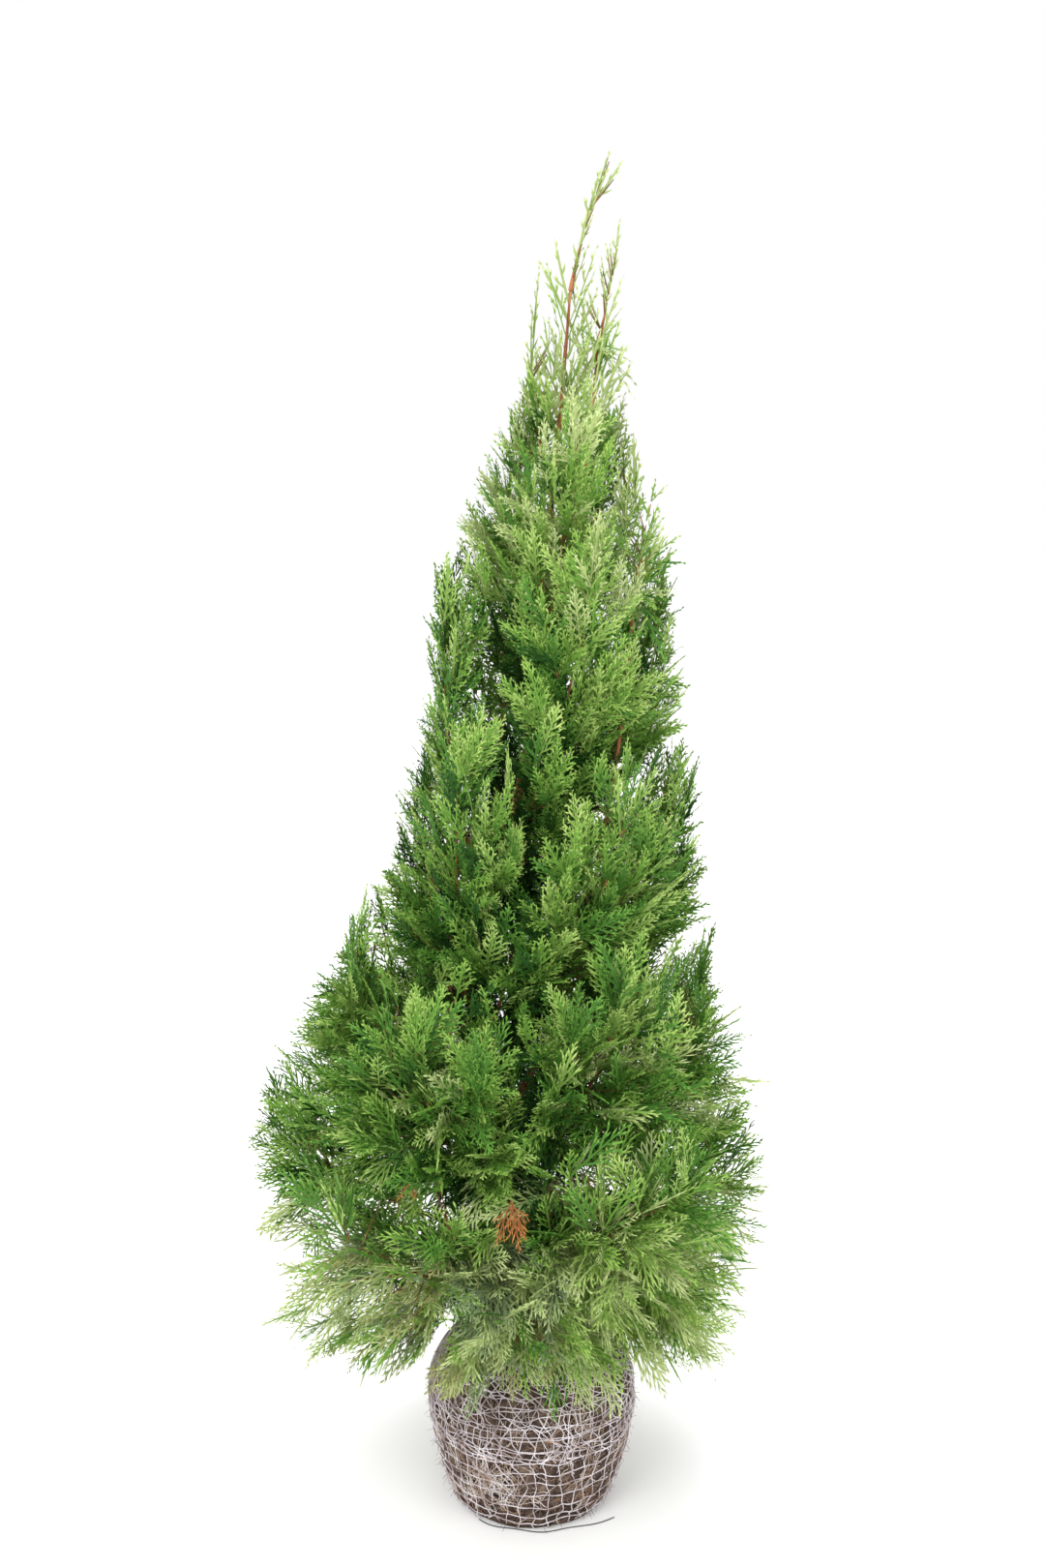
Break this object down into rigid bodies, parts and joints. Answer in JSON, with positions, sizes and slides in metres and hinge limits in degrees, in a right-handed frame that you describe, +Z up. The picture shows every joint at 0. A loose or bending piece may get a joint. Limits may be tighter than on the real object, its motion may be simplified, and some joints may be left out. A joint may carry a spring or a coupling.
{
  "type": "root-balled thuja",
  "caption": "Young garden thuja, a feathery cone of green sprays, standing on its soil root ball wrapped in wire netting.",
  "frame": {"origin": "centre of the root ball's flat underside", "axes": "+Z up along the trunk, +X to the right of the plant's front, and the front faces -Y"},
  "size_m": [0.5371, 0.4939, 1.377],
  "materials": {
    "soil": "matte",
    "wire": "matte",
    "bark": "matte",
    "foliage": "matte"
  },
  "bodies": {
    "root": {"root_ball": "soil", "wire_net": "wire", "trunk": "bark", "right_leader": "bark", "second_leader": "bark", "bough_skirt_1": "bark", "bough_skirt_2": "bark", "bough_skirt_3": "bark", "bough_skirt_4": "bark", "bough_skirt_5": "bark", "bough_skirt_6": "bark", "bough_low_1": "bark", "bough_low_2": "bark", "bough_low_3": "bark", "bough_low_4": "bark", "bough_low_5": "bark", "bough_low_6": "bark", "bough_wide_1": "bark", "bough_wide_2": "bark", "bough_wide_3": "bark", "bough_wide_4": "bark", "bough_wide_5": "bark", "bough_wide_6": "bark", "foliage_skirt_1": "foliage", "foliage_skirt_2": "foliage", "foliage_skirt_3": "foliage", "foliage_skirt_4": "foliage", "foliage_skirt_5": "foliage", "foliage_skirt_6": "foliage", "foliage_low_1": "foliage", "foliage_low_2": "foliage", "foliage_low_3": "foliage", "foliage_low_4": "foliage", "foliage_low_5": "foliage", "foliage_low_6": "foliage", "foliage_wide_1": "foliage", "foliage_wide_2": "foliage", "foliage_wide_3": "foliage", "foliage_wide_4": "foliage", "foliage_wide_5": "foliage", "foliage_wide_6": "foliage", "foliage_middle_1": "foliage", "foliage_middle_2": "foliage", "foliage_middle_3": "foliage", "foliage_middle_4": "foliage", "foliage_middle_5": "foliage", "foliage_upper_1": "foliage", "foliage_upper_2": "foliage", "foliage_upper_3": "foliage", "foliage_upper_4": "foliage", "foliage_shoulder_1": "foliage", "foliage_shoulder_2": "foliage", "foliage_shoulder_3": "foliage", "foliage_leader_tip": "foliage", "foliage_second_leader": "foliage", "foliage_right_leader": "foliage", "foliage_left_crest": "foliage"}
  },
  "joints": []
}
